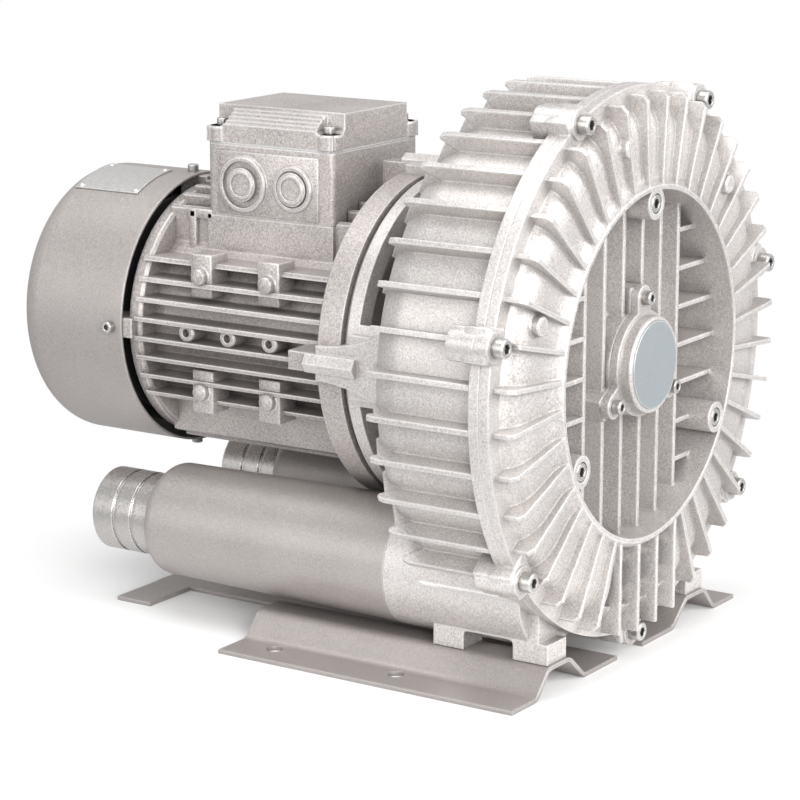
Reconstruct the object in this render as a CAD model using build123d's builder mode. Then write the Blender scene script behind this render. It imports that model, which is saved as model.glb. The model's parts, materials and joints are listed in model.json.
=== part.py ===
"""Side channel blower: finned impeller casing, fan-cooled motor, two silencers and sheet-metal feet.

Millimetres. The shaft runs along Y with the casing cover facing -Y and the motor towards +Y.
The origin lies on the floor, in the middle of the four foot holes, and +Z is up.
"""

import os
from math import atan2, cos, degrees, pi, radians, sin, sqrt

from build123d import *

os.makedirs("parts", exist_ok=True)

# ---------------------------------------------------------------- driving dimensions: stance
CASING_CLEARANCE = 18.0      # flange of the casing above the floor
FOOT_HOLE_X = 135.0          # foot holes left and right of the centre plane
FOOT_HOLE_Y = 50.0           # foot holes ahead of and behind the origin
FOOT_HOLE_R = 6.0
SHEET = 3.0                  # foot sheet thickness
CREST_Z = 20.0               # top of the feet, where the casing stands
CREST_X = 97.0               # middle of a foot's crest

# ---------------------------------------------------------------- driving dimensions: casing
PARTING_Y = -145.0           # joint face between cover and housing
COVER_DEPTH = 23.0           # parting face to the cover's front rim
HOUSING_DEPTH = 99.0         # parting face to the back of the housing
CHANNEL_IN_R = 127.0         # inner radius of the side channel
CHANNEL_WIDTH = 37.0         # its radial width
COVER_CHANNEL = 12.0         # channel depth in the cover
HOUSING_CHANNEL = 26.0       # channel depth behind the impeller
CASTING = 5.0                # general casting wall
FLANGE = 7.5                 # thickness of each parting flange
FLANGE_WIDTH = 13.0          # flange outside the peripheral wall
RECESS_WALL = 9.0            # between the cover's recess and the channel
RECESS_DEPTH = 48.0
FIN = 3.2                    # casing fin thickness
FIN_COUNT = 40
FIN_HEIGHT = 12.0            # housing fins above the peripheral wall
RIB_PITCH = 25.6             # parallel ribs in the cover recess
SHORT_RIB_PITCH = 27.0
RUNNING_GAP = 0.5            # impeller to casing
BIG_SCREW_COUNT = 7
LUG_R = 10.5
STRIPPER_HALF = 15.0         # half angle of the block between the ports

# ---------------------------------------------------------------- driving dimensions: drive
IMPELLER_WIDTH = 52.0
BLADE_COUNT = 42
BLADE = 2.5
SEAT_R = 17.5                # shaft radius under the impeller
JOURNAL_R = 15.0             # shaft radius in both bearings
BEARING_R = 31.0             # ball bearing outside radius
BEARING_WIDTH = 16.0
RACE = 5.0                   # radial thickness of a race
BALL_R = 4.6
BALL_COUNT = 9
SEAL_R = 27.5
SEAL_WIDTH = 8.0
FIT = 0.05                   # radial clearance of located parts

# ---------------------------------------------------------------- driving dimensions: motor
BELL_STEP = 11.0             # bell ring and motor flange inside the channel's inner radius
BELL_WALL = 14.0
BELL_LENGTH = 52.0           # bell behind the housing
WINDOW_LENGTH = 17.0
WINDOW_ARC = 60.0
MOTOR_FLANGE = 20.0
FRAME_BORE = 70.0
FRAME_WALL = 7.0
FRAME_LENGTH = 172.0
COOLING_R = 96.0             # envelope of the motor's cooling fins
COOLING_PITCH = 14.0
CORE_LENGTH = 110.0
AIR_GAP = 0.5
ROTOR_R = 44.0
COWL_R = 100.0
COWL_SHEET = 1.5
COWL_LENGTH = 99.0
COWL_OVERLAP = 8.0
FAN_R = 88.0
FAN_BLADES = 10

# ---------------------------------------------------------------- driving dimensions: terminal box
BOX_HALF = 54.0              # half width and half length
BOX_SEAT = 80.0              # joint with the motor frame, above the shaft
BOX_HEIGHT = 51.0
LID_HEIGHT = 25.0
BOX_WALL = 4.0
GASKET = 1.5

# ---------------------------------------------------------------- driving dimensions: silencers
SILENCER_X = 78.0
PORT_DROP = 140.0            # silencers below the shaft
SILENCER_FRONT_R = 43.5
SILENCER_REAR_R = 40.5
SILENCER_LENGTH = 211.0
SILENCER_WALL = 3.0
DUCT_R = 26.0                # bore of ports and silencers
SPIGOT_WALL = 4.0
HOSE_LENGTH = 52.0
SPIGOT_SHOULDER = 1.0        # the spigot's step against the silencer's end

# ---------------------------------------------------------------- sizes that follow from these
CHANNEL_OUT_R = CHANNEL_IN_R + CHANNEL_WIDTH
CHANNEL_MID_R = CHANNEL_IN_R + CHANNEL_WIDTH / 2
BODY_R = CHANNEL_OUT_R + 2 * CASTING
FLANGE_R = BODY_R + FLANGE_WIDTH
SHAFT_Z = CASING_CLEARANCE + FLANGE_R
SILENCER_Z = SHAFT_Z - PORT_DROP
RECESS_R = CHANNEL_IN_R - RECESS_WALL
CUP_R = CHANNEL_IN_R - 4.5
BELL_R = CHANNEL_IN_R - BELL_STEP
HUB_R = BEARING_R + CASTING
HOSE_R = DUCT_R + SPIGOT_WALL
SCREW_CIRCLE_R = FLANGE_R + 1

# ---------------------------------------------------------------- stations along the shaft
RIM_Y = PARTING_Y - COVER_DEPTH
COVER_FLANGE_Y = PARTING_Y - FLANGE
HOUSING_FLANGE_Y = PARTING_Y + FLANGE
HOUSING_REAR_Y = PARTING_Y + HOUSING_DEPTH
CHANNEL_REAR_Y = HOUSING_REAR_Y - CASTING - 2
IMPELLER_REAR_Y = CHANNEL_REAR_Y - HOUSING_CHANNEL
IMPELLER_FRONT_Y = IMPELLER_REAR_Y - IMPELLER_WIDTH
LAND_Y = IMPELLER_FRONT_Y - RUNNING_GAP
PLATE_Y = IMPELLER_REAR_Y + RUNNING_GAP
PLATE_REAR_Y = PLATE_Y + CASTING + 2
FLOOR_Y = RIM_Y + RECESS_DEPTH
CUP_REAR_Y = FLOOR_Y + CASTING
HUB_FRONT_Y = RIM_Y + 14
FRONT_BEARING_Y = HUB_FRONT_Y + 2
HUB_END_Y = CUP_REAR_Y + 3
BELL_END_Y = HOUSING_REAR_Y + BELL_LENGTH + 2
FRAME_Y = BELL_END_Y + MOTOR_FLANGE
FRAME_END_Y = FRAME_Y + FRAME_LENGTH
SHIELD = 14.0
REAR_BEARING_Y = FRAME_END_Y + 3
REAR_BEARING_END_Y = REAR_BEARING_Y + BEARING_WIDTH
COWL_Y = FRAME_END_Y + COWL_OVERLAP
COWL_END_Y = COWL_Y + COWL_LENGTH
SILENCER_Y = HOUSING_REAR_Y + 16
SILENCER_END_Y = SILENCER_Y + SILENCER_LENGTH

AXIAL = Plane.XY.offset(SHAFT_Z)                       # local x is the radius, local y is world Y
SHAFT = Axis((0, 0, SHAFT_Z), (0, -1, 0))              # turns anticlockwise seen from the cover


def across(y):
    """Plane across the shaft at station y, facing the cover side, with local y upwards."""
    return Plane(origin=(0, y, SHAFT_Z), x_dir=(1, 0, 0), z_dir=(0, -1, 0))


def polar(radius, angle):
    """Point across the shaft, its angle anticlockwise from +X as seen from the cover."""
    return radius * cos(radians(angle)), radius * sin(radians(angle))


def finish(builder, name):
    """Label a finished piece and write it."""
    builder.part.label = name
    export_step(builder.part, f"parts/{name}.step")


def turned(*outline):
    """Solid of revolution about the shaft from (radius, y) points."""
    with BuildPart() as body:
        with BuildSketch(AXIAL):
            with BuildLine():
                Polyline(*outline, close=True)
            make_face()
        revolve(axis=SHAFT)
    return body


def tube(outer, inner, start, end):
    """Plain ring about the shaft between two stations."""
    return turned((inner, start), (outer, start), (outer, end), (inner, end))


def radial_plate(thickness, *outline):
    """Flat plate standing in a plane through the shaft, drawn as (radius, y) points."""
    with BuildPart() as plate:
        with BuildSketch(AXIAL):
            with BuildLine():
                Polyline(*outline, close=True)
            make_face()
        extrude(amount=thickness / 2, both=True)
    return plate.part


def around(piece, angles):
    """Copies of a piece turned about the shaft."""
    return [piece.rotate(SHAFT, angle) for angle in angles]


def socket_screw(size, length):
    """Hexagon socket screw along local Z, its head standing on z = 0."""
    with BuildPart() as screw:
        with BuildSketch():
            Circle(size * 0.8)
        extrude(amount=size)
        chamfer(screw.edges().group_by(Axis.Z)[-1], size * 0.08)
        with BuildSketch(Plane.XY.offset(size)):
            RegularPolygon(size * 0.45, 6)
        extrude(amount=-size * 0.5, mode=Mode.SUBTRACT)
        with BuildSketch():
            Circle(size / 2)
        extrude(amount=-length)
    return screw.part


def hex_screw(size, length):
    """Hexagon head screw along local Z, its head standing on z = 0."""
    with BuildPart() as screw:
        with BuildSketch():
            RegularPolygon(size * 0.93, 6)
        extrude(amount=size * 0.65)
        with BuildSketch():
            Circle(size / 2)
        extrude(amount=-length)
    return screw.part


def screw_set(name, screw, planes):
    """Identical screws as one node of separate solids."""
    with BuildPart() as group:
        for plane in planes:
            add(screw.moved(plane.location))
    finish(group, name)


def facing_front(y, radius, angles):
    """Screw planes facing the cover side on a circle about the shaft."""
    base = across(y)
    return [Plane(base.from_local_coords((*polar(radius, angle), 0)), base.x_dir, base.z_dir)
            for angle in angles]


LUG_ANGLES = [270 + 360 / BIG_SCREW_COUNT * k for k in range(BIG_SCREW_COUNT)]
CAP_ANGLES = [90, 210, 330]
TIE_ANGLES = [0, 90, 180, 270]
FIN_ANGLES = [360 / FIN_COUNT * (k + 0.5) for k in range(FIN_COUNT)]
RADIAL_FIN_ANGLES = [a for a in FIN_ANGLES if abs(a - 270) > 18]
LUG_SCREW = 8.0
CAP_SCREW = 6.0


# ---------------------------------------------------------------- impeller cover
RIB_FRONT_Y = RIM_Y + 17
HUB_LUG_CIRCLE = HUB_R + 9
JACK_CIRCLE = RECESS_R - 9
JACK_BOSS_R = 11.0
LUG_FACE_Y = COVER_FLANGE_Y - 3

with BuildPart() as recess_ribs:
    depth = FLOOR_Y - RIB_FRONT_Y + 1
    with BuildSketch(across(FLOOR_Y + 1)):
        with GridLocations(RIB_PITCH, 0, 6, 1):
            Rectangle(FIN, 2 * RECESS_R)
        for side in (-1, 1):
            for k in range(-3, 4):
                with Locations((side * (2.5 * RIB_PITCH + RECESS_R / 4), k * SHORT_RIB_PITCH)):
                    Rectangle(RECESS_R / 2, FIN)
        Circle(RECESS_R + 2, mode=Mode.INTERSECT)
    extrude(amount=depth)
    with BuildSketch(across(RIM_Y)):
        Circle(HUB_R - 2)
    extrude(amount=-RECESS_DEPTH - CASTING, mode=Mode.SUBTRACT)

cover_fin = radial_plate(
    FIN,
    (RECESS_R + 2, RIM_Y + 5), (RECESS_R + 3, RIM_Y + 0.5), (FLANGE_R - 8, RIM_Y + 0.5),
    (FLANGE_R - 4, RIM_Y + 4), (FLANGE_R - 4, COVER_FLANGE_Y + 1), (CHANNEL_OUT_R + 4, COVER_FLANGE_Y + 1),
    (CHANNEL_MID_R, RIM_Y + 8),
)

with BuildPart() as impeller_cover:
    with BuildSketch(AXIAL):
        with BuildLine():
            Polyline((RECESS_R, FLOOR_Y), (RECESS_R, RIM_Y), (RECESS_R + 3, RIM_Y), (RECESS_R + 6, RIM_Y + 3.5))
            Spline((RECESS_R + 6, RIM_Y + 3.5), (CHANNEL_MID_R + 3, RIM_Y + 6), (CHANNEL_OUT_R + 4, RIM_Y + 10),
                   (BODY_R, COVER_FLANGE_Y))
            Polyline((BODY_R, COVER_FLANGE_Y), (FLANGE_R, COVER_FLANGE_Y), (FLANGE_R, PARTING_Y),
                     (CHANNEL_OUT_R, PARTING_Y))
            ThreePointArc((CHANNEL_OUT_R, PARTING_Y), (CHANNEL_MID_R, PARTING_Y - COVER_CHANNEL),
                          (CHANNEL_IN_R, PARTING_Y))
            Polyline((CHANNEL_IN_R, PARTING_Y), (CHANNEL_IN_R, LAND_Y), (CUP_R, LAND_Y), (CUP_R, CUP_REAR_Y),
                     (BEARING_R, CUP_REAR_Y), (BEARING_R, HUB_END_Y), (0, HUB_END_Y), (0, HUB_FRONT_Y),
                     (HUB_R, HUB_FRONT_Y), (HUB_R, HUB_FRONT_Y + 14), (2 * HUB_R - 8, FLOOR_Y),
                     (RECESS_R, FLOOR_Y))
        make_face()
    revolve(axis=SHAFT)
    add(recess_ribs.part)
    add(around(cover_fin, RADIAL_FIN_ANGLES))
    with BuildSketch(across(PARTING_Y)):
        for angle in LUG_ANGLES:
            with Locations(polar(SCREW_CIRCLE_R, angle)):
                Circle(LUG_R)
    extrude(amount=PARTING_Y - LUG_FACE_Y)
    with BuildSketch(across(LUG_FACE_Y)):
        for angle in LUG_ANGLES:
            with Locations(polar(SCREW_CIRCLE_R, angle)):
                Circle(LUG_R - 2)
    extrude(amount=COVER_DEPTH, mode=Mode.SUBTRACT)
    with BuildSketch(across(FLOOR_Y + 1)):
        for angle in CAP_ANGLES:
            with Locations(polar(JACK_CIRCLE, angle)):
                Circle(JACK_BOSS_R)
    extrude(amount=RECESS_DEPTH + 1 - 0.5)
    with BuildSketch(across(FLOOR_Y + 1)):
        for angle in CAP_ANGLES:
            with Locations(Location(polar(HUB_LUG_CIRCLE - 4, angle), angle)):
                Rectangle(22, 17)
    extrude(amount=FLOOR_Y + 1 - HUB_FRONT_Y)
    # bearing seat with its shoulder, then the opening for the shaft
    with BuildSketch(across(HUB_FRONT_Y - 1)):
        Circle(BEARING_R + FIT)
    extrude(amount=-(FRONT_BEARING_Y + BEARING_WIDTH - HUB_FRONT_Y + 1), mode=Mode.SUBTRACT)
    with BuildSketch(across(HUB_FRONT_Y)):
        Circle(BEARING_R - 4)
    extrude(amount=-(FRONT_BEARING_Y + BEARING_WIDTH + 4 - HUB_FRONT_Y), mode=Mode.SUBTRACT)
    with BuildSketch(across(HUB_FRONT_Y)):
        Circle(SEAT_R + 5)
    extrude(amount=-(HUB_END_Y + 1 - HUB_FRONT_Y), mode=Mode.SUBTRACT)
    with Locations(*facing_front(LUG_FACE_Y, SCREW_CIRCLE_R, LUG_ANGLES)):
        Hole(LUG_SCREW / 2 + 0.3, FLANGE + 4)
    with Locations(*facing_front(HUB_FRONT_Y, HUB_LUG_CIRCLE, CAP_ANGLES)):
        Hole(CAP_SCREW / 2, 16)
    with Locations(*facing_front(RIM_Y + 0.5, JACK_CIRCLE, CAP_ANGLES)):
        CounterBoreHole(LUG_SCREW / 2, LUG_SCREW * 0.8 + 0.5, LUG_SCREW, 35)
finish(impeller_cover, "impeller_cover")

screw_set("cover_screws", socket_screw(LUG_SCREW, 22), facing_front(LUG_FACE_Y, SCREW_CIRCLE_R, LUG_ANGLES))
screw_set("jacking_screws", socket_screw(LUG_SCREW, 20),
          facing_front(RIM_Y + 0.5 + LUG_SCREW, JACK_CIRCLE, CAP_ANGLES))

# ---------------------------------------------------------------- bearing cap
CAP_LUG = 6.0
CAP_LUG_R = 8.5
CAP_FRONT_Y = RIM_Y - 0.5
with BuildPart() as bearing_cap:
    with BuildSketch(across(HUB_FRONT_Y)):
        Circle(HUB_R)
        for angle in CAP_ANGLES:
            with Locations(polar(HUB_LUG_CIRCLE, angle)):
                Circle(CAP_LUG_R)
            with Locations(Location(polar(HUB_LUG_CIRCLE / 2, angle), angle)):
                Rectangle(HUB_LUG_CIRCLE, 2 * CAP_LUG_R)
    extrude(amount=CAP_LUG)
    with BuildSketch(across(HUB_FRONT_Y)):
        Circle(HUB_R - 3)
    extrude(amount=HUB_FRONT_Y - CAP_FRONT_Y)
    fillet(bearing_cap.edges().group_by(Axis.Y)[0], 2)
    with BuildSketch(across(CAP_FRONT_Y)):
        Circle(HUB_R - 6)
    extrude(amount=-1.5, mode=Mode.SUBTRACT)
    with BuildSketch(across(HUB_FRONT_Y)):
        Circle(BEARING_R - FIT)
    extrude(amount=-2)
    with BuildSketch(across(HUB_FRONT_Y + 2)):
        Circle(BEARING_R - 5)
    extrude(amount=12, mode=Mode.SUBTRACT)
    with Locations(*facing_front(HUB_FRONT_Y - CAP_LUG, HUB_LUG_CIRCLE, CAP_ANGLES)):
        Hole(CAP_SCREW / 2 + 0.3, CAP_LUG)
finish(bearing_cap, "bearing_cap")

cap_plate = tube(HUB_R - 6 - FIT, 0, CAP_FRONT_Y - 0.5, CAP_FRONT_Y + 1.5)
finish(cap_plate, "cap_plate")
screw_set("bearing_cap_screws", socket_screw(CAP_SCREW, 20),
          facing_front(HUB_FRONT_Y - CAP_LUG, HUB_LUG_CIRCLE, CAP_ANGLES))

# ---------------------------------------------------------------- impeller housing
PORT_Z = SILENCER_Z - SHAFT_Z
SEAL_Y = PLATE_REAR_Y + 2
SEAL_BOSS_END_Y = SEAL_Y + SEAL_WIDTH + 1
WINDOW_Y = HOUSING_REAR_Y + 7
BELL_BORE = BELL_R - BELL_WALL
TIE_CIRCLE = BELL_BORE + 8
TIE_SEAT_Y = BELL_END_Y - 12
LEG_Y = (-140.0, -75.0)

housing_fin = radial_plate(
    FIN,
    (BODY_R - 3, PARTING_Y + 2), (BODY_R + FIN_HEIGHT, PARTING_Y + 2), (BODY_R + FIN_HEIGHT, HOUSING_REAR_Y - 29),
    (BODY_R + 6, HOUSING_REAR_Y - 16), (BODY_R - 14, HOUSING_REAR_Y - 2), (CHANNEL_MID_R, HOUSING_REAR_Y - 3),
    (CHANNEL_OUT_R - 4, HOUSING_REAR_Y - 16), (BODY_R - 3, HOUSING_REAR_Y - 34),
)

with BuildPart() as bell_window:
    with BuildSketch(AXIAL):
        with Locations((BELL_R - BELL_WALL / 2, WINDOW_Y + WINDOW_LENGTH / 2)):
            Rectangle(BELL_WALL + 16, WINDOW_LENGTH)
    revolve(axis=SHAFT, revolution_arc=WINDOW_ARC)

with BuildPart() as impeller_housing:
    with BuildSketch(AXIAL):
        with BuildLine():
            Polyline((BELL_BORE, HOUSING_REAR_Y), (0, HOUSING_REAR_Y), (0, PARTING_Y), (FLANGE_R, PARTING_Y),
                     (FLANGE_R, HOUSING_FLANGE_Y), (BODY_R, HOUSING_FLANGE_Y), (BODY_R, HOUSING_REAR_Y - 32))
            ThreePointArc((BODY_R, HOUSING_REAR_Y - 32), (BODY_R - 8.5, HOUSING_REAR_Y - 9.5),
                          (BODY_R - 30, HOUSING_REAR_Y))
            Line((BODY_R - 30, HOUSING_REAR_Y), (BELL_BORE, HOUSING_REAR_Y))
        make_face()
    revolve(axis=SHAFT)
    add(around(housing_fin, RADIAL_FIN_ANGLES))
    with BuildSketch(across(PARTING_Y)):
        for angle in LUG_ANGLES:
            with Locations(polar(SCREW_CIRCLE_R, angle)):
                Circle(LUG_R)
    extrude(amount=-20)
    # bell with its four webs
    with BuildSketch(across(HOUSING_REAR_Y)):
        Circle(BELL_R)
    extrude(amount=-(BELL_END_Y - HOUSING_REAR_Y))
    chamfer(impeller_housing.edges().filter_by(GeomType.CIRCLE).group_by(Axis.Y)[-1], 5)
    for angle in TIE_ANGLES:
        web = Plane(across(HOUSING_REAR_Y).from_local_coords((0, 0, 0)), (1, 0, 0), (0, -1, 0)).rotated((0, angle, 0))
        with BuildSketch(web):
            with Locations((BELL_R - 2, 0)):
                Rectangle(12, 44)
        extrude(amount=-(BELL_END_Y - 10 - HOUSING_REAR_Y))
    # port blocks and legs
    for side in (-1, 1):
        with BuildSketch(across(HOUSING_FLANGE_Y)):
            with Locations((side * SILENCER_X, PORT_Z)):
                Circle(SILENCER_FRONT_R)
        extrude(amount=-(SILENCER_Y - HOUSING_FLANGE_Y))
        with BuildSketch(Plane.XY.offset(CREST_Z)):
            with Locations((side * CREST_X, (LEG_Y[0] + LEG_Y[1]) / 2)):
                Rectangle(24, LEG_Y[1] - LEG_Y[0] + 24)
        extrude(amount=14)
        with BuildSketch(Plane.XY.offset(CREST_Z + 14)):
            with Locations((side * CREST_X, (PARTING_Y + LEG_Y[1] + 12) / 2)):
                Rectangle(24, LEG_Y[1] + 12 - PARTING_Y)
        extrude(amount=20)
    # impeller chamber
    with BuildSketch(AXIAL):
        with BuildLine():
            Polyline((CHANNEL_IN_R, PLATE_Y), (0, PLATE_Y), (0, PARTING_Y - 20), (CHANNEL_OUT_R, PARTING_Y - 20),
                     (CHANNEL_OUT_R, IMPELLER_REAR_Y))
            ThreePointArc((CHANNEL_OUT_R, IMPELLER_REAR_Y), (CHANNEL_MID_R, CHANNEL_REAR_Y),
                          (CHANNEL_IN_R, IMPELLER_REAR_Y))
            Line((CHANNEL_IN_R, IMPELLER_REAR_Y), (CHANNEL_IN_R, PLATE_Y))
        make_face()
    revolve(axis=SHAFT, mode=Mode.SUBTRACT)
    # space between the seal plate and the motor
    with BuildSketch(AXIAL):
        with BuildLine():
            Polyline((SEAL_R + CASTING, PLATE_REAR_Y), (CHANNEL_IN_R - 6, PLATE_REAR_Y),
                     (CHANNEL_IN_R - 6, HOUSING_REAR_Y - 7), (BELL_BORE, HOUSING_REAR_Y - 7),
                     (BELL_BORE, BELL_END_Y + 1), (0, BELL_END_Y + 1), (0, SEAL_BOSS_END_Y),
                     (SEAL_R + CASTING, SEAL_BOSS_END_Y), close=True)
        make_face()
    revolve(axis=SHAFT, mode=Mode.SUBTRACT)
    with BuildSketch(across(SEAL_Y)):
        Circle(SEAL_R + FIT)
    extrude(amount=-(SEAL_WIDTH + 2), mode=Mode.SUBTRACT)
    with BuildSketch(across(PLATE_Y)):
        Circle(SEAT_R + 5)
    extrude(amount=-(SEAL_Y - PLATE_Y), mode=Mode.SUBTRACT)
    # windows between the webs, the port bores and the screw holes
    add(around(bell_window.part, [angle + 45 - WINDOW_ARC / 2 for angle in TIE_ANGLES]), mode=Mode.SUBTRACT)
    with BuildSketch(across(IMPELLER_FRONT_Y)):
        for side in (-1, 1):
            with Locations((side * SILENCER_X, PORT_Z)):
                Circle(DUCT_R)
    extrude(amount=-(SILENCER_Y - IMPELLER_FRONT_Y), mode=Mode.SUBTRACT)
    with Locations(*facing_front(PARTING_Y, SCREW_CIRCLE_R, LUG_ANGLES)):
        Hole(LUG_SCREW / 2, 18)
    with BuildSketch(across(TIE_SEAT_Y)):
        for angle in TIE_ANGLES:
            with Locations(Location(polar(TIE_CIRCLE + 5.25, angle), angle)):
                Rectangle(25.5, 16)
    extrude(amount=18, mode=Mode.SUBTRACT)
    with Locations(*facing_front(TIE_SEAT_Y, TIE_CIRCLE, TIE_ANGLES)):
        Hole(LUG_SCREW / 2 + 0.3, 12)
    for side in (-1, 1):
        for y in LEG_Y:
            with Locations(Plane((side * CREST_X, y, CREST_Z), z_dir=(0, 0, -1))):
                Hole(LUG_SCREW / 2, 13)
finish(impeller_housing, "impeller_housing")

# ---------------------------------------------------------------- impeller
RIM_RING = 3.5
WEB = 7.0
HUB_FLANGE_R = 30.0
IMPELLER_HUB_Y = HUB_END_Y + 1.5
blade_root = CHANNEL_IN_R - 1
with BuildPart() as blade:
    with BuildSketch(Plane.YZ.offset(blade_root)):
        with BuildLine():
            Polyline((IMPELLER_FRONT_Y, SHAFT_Z + 5), (IMPELLER_FRONT_Y + IMPELLER_WIDTH / 2, SHAFT_Z),
                     (IMPELLER_REAR_Y, SHAFT_Z + 5), (IMPELLER_REAR_Y, SHAFT_Z + 5 + BLADE),
                     (IMPELLER_FRONT_Y + IMPELLER_WIDTH / 2, SHAFT_Z + BLADE),
                     (IMPELLER_FRONT_Y, SHAFT_Z + 5 + BLADE), close=True)
        make_face()
    extrude(amount=CHANNEL_OUT_R - RUNNING_GAP - 1 - blade_root)

with BuildPart() as impeller:
    add(turned(
        (CHANNEL_IN_R - RIM_RING, IMPELLER_FRONT_Y), (CHANNEL_IN_R, IMPELLER_FRONT_Y),
        (CHANNEL_IN_R, IMPELLER_REAR_Y), (SEAT_R + FIT, IMPELLER_REAR_Y), (SEAT_R + FIT, IMPELLER_HUB_Y), (HUB_FLANGE_R, IMPELLER_HUB_Y),
        (HUB_FLANGE_R + 4, IMPELLER_REAR_Y - WEB), (CHANNEL_IN_R - RIM_RING, IMPELLER_REAR_Y - WEB)).part)
    add(around(blade.part, [360 / BLADE_COUNT * k for k in range(BLADE_COUNT)]))
    with BuildSketch(across(IMPELLER_REAR_Y - WEB - 1)):
        with PolarLocations((HUB_FLANGE_R + CHANNEL_IN_R) / 2, 6):
            Circle(12)
    extrude(amount=-(WEB + 2), mode=Mode.SUBTRACT)
    with BuildSketch(across(IMPELLER_HUB_Y)):
        with Locations((0, SEAT_R)):
            Rectangle(10 + FIT, 7)
    extrude(amount=-(IMPELLER_REAR_Y - IMPELLER_HUB_Y), mode=Mode.SUBTRACT)
finish(impeller, "impeller")

# ---------------------------------------------------------------- shaft and what turns with it
KEY_WIDTH = 10.0
KEY_HEIGHT = 8.0
KEY_SINK = 4.5
KEY_LENGTH = 24.0
SHAFT_FRONT_Y = FRONT_BEARING_Y - 7
CLIP = 1.5
SEAL_LAND_R = SEAT_R + 2.5
SHAFT_R = SEAT_R + 4.5
FAN_SEAT_R = JOURNAL_R - 1
FAN_Y = REAR_BEARING_END_Y + 10
FAN_LENGTH = 34.0
SHAFT_REAR_Y = FAN_Y + FAN_LENGTH + 5
CORE_Y = FRAME_Y + (FRAME_LENGTH - CORE_LENGTH) / 2
key_y = (IMPELLER_HUB_Y + IMPELLER_REAR_Y) / 2

with BuildPart() as shaft:
    add(turned(
        (0, SHAFT_FRONT_Y), (JOURNAL_R - 1, SHAFT_FRONT_Y), (JOURNAL_R, SHAFT_FRONT_Y + 1),
        (JOURNAL_R, IMPELLER_HUB_Y), (SEAT_R, IMPELLER_HUB_Y), (SEAT_R, IMPELLER_REAR_Y),
        (SEAL_LAND_R, IMPELLER_REAR_Y), (SEAL_LAND_R, SEAL_BOSS_END_Y), (SHAFT_R, SEAL_BOSS_END_Y),
        (SHAFT_R, REAR_BEARING_Y), (JOURNAL_R, REAR_BEARING_Y), (JOURNAL_R, REAR_BEARING_END_Y + 2),
        (FAN_SEAT_R, REAR_BEARING_END_Y + 2), (FAN_SEAT_R, SHAFT_REAR_Y), (0, SHAFT_REAR_Y)).part)
    add(tube(JOURNAL_R + 1, JOURNAL_R - 0.8, FRONT_BEARING_Y - CLIP, FRONT_BEARING_Y).part, mode=Mode.SUBTRACT)
    add(tube(FAN_SEAT_R + 1, FAN_SEAT_R - 0.8, FAN_Y + FAN_LENGTH, FAN_Y + FAN_LENGTH + CLIP).part,
        mode=Mode.SUBTRACT)
    with BuildSketch(Plane.XY.offset(SHAFT_Z + SEAT_R - KEY_SINK)):
        with Locations((0, key_y)):
            SlotOverall(KEY_LENGTH, KEY_WIDTH, rotation=90)
    extrude(amount=KEY_SINK + 1, mode=Mode.SUBTRACT)
finish(shaft, "shaft")

with BuildPart() as impeller_key:
    with BuildSketch(Plane.XY.offset(SHAFT_Z + SEAT_R - KEY_SINK)):
        with Locations((0, key_y)):
            SlotOverall(KEY_LENGTH, KEY_WIDTH, rotation=90)
    extrude(amount=KEY_HEIGHT)
finish(impeller_key, "impeller_key")

finish(tube(SEAT_R + 2, JOURNAL_R, FRONT_BEARING_Y + BEARING_WIDTH, IMPELLER_HUB_Y), "spacer_sleeve")
finish(tube(JOURNAL_R + 4, JOURNAL_R - 0.8, FRONT_BEARING_Y - CLIP, FRONT_BEARING_Y), "front_circlip")
finish(tube(FAN_SEAT_R + 4, FAN_SEAT_R - 0.8, FAN_Y + FAN_LENGTH, FAN_Y + FAN_LENGTH + CLIP), "fan_circlip")
finish(tube(ROTOR_R, SHAFT_R, CORE_Y, CORE_Y + CORE_LENGTH), "rotor_core")


# ---------------------------------------------------------------- ball bearings
PITCH_R = (BEARING_R + JOURNAL_R) / 2


def ball_bearing(name, start):
    """Deep-groove ball bearing as two races, a cage and its balls."""
    middle = start + BEARING_WIDTH / 2
    with BuildPart() as groove:
        with BuildSketch(AXIAL):
            with Locations((PITCH_R, middle)):
                Circle(BALL_R + FIT)
        revolve(axis=SHAFT)
    with BuildPart() as outer_race:
        add(tube(BEARING_R, BEARING_R - RACE, start, start + BEARING_WIDTH).part)
        add(groove.part, mode=Mode.SUBTRACT)
    finish(outer_race, f"{name}_outer_race")
    with BuildPart() as inner_race:
        add(tube(JOURNAL_R + RACE, JOURNAL_R, start, start + BEARING_WIDTH).part)
        add(groove.part, mode=Mode.SUBTRACT)
    finish(inner_race, f"{name}_inner_race")
    angles = [360 / BALL_COUNT * k for k in range(BALL_COUNT)]
    centres = [across(middle).from_local_coords((*polar(PITCH_R, angle), 0)) for angle in angles]
    with BuildPart() as cage:
        add(tube(PITCH_R + 1.3, PITCH_R - 1.3, middle - BALL_R - 1.5, middle + BALL_R + 1.5).part)
        with Locations(*[Plane(centre, z_dir=centre - Vector(0, middle, SHAFT_Z)) for centre in centres]):
            Cylinder(BALL_R + 2 * FIT, RACE * 2, mode=Mode.SUBTRACT)
    finish(cage, f"{name}_cage")
    with BuildPart() as balls:
        with Locations(*centres):
            Sphere(BALL_R)
    finish(balls, f"{name}_balls")


ball_bearing("front_bearing", FRONT_BEARING_Y)
ball_bearing("rear_bearing", REAR_BEARING_Y)

finish(tube(SEAL_R, SEAL_LAND_R + FIT, SEAL_Y, SEAL_Y + SEAL_WIDTH), "shaft_seal")

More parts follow.
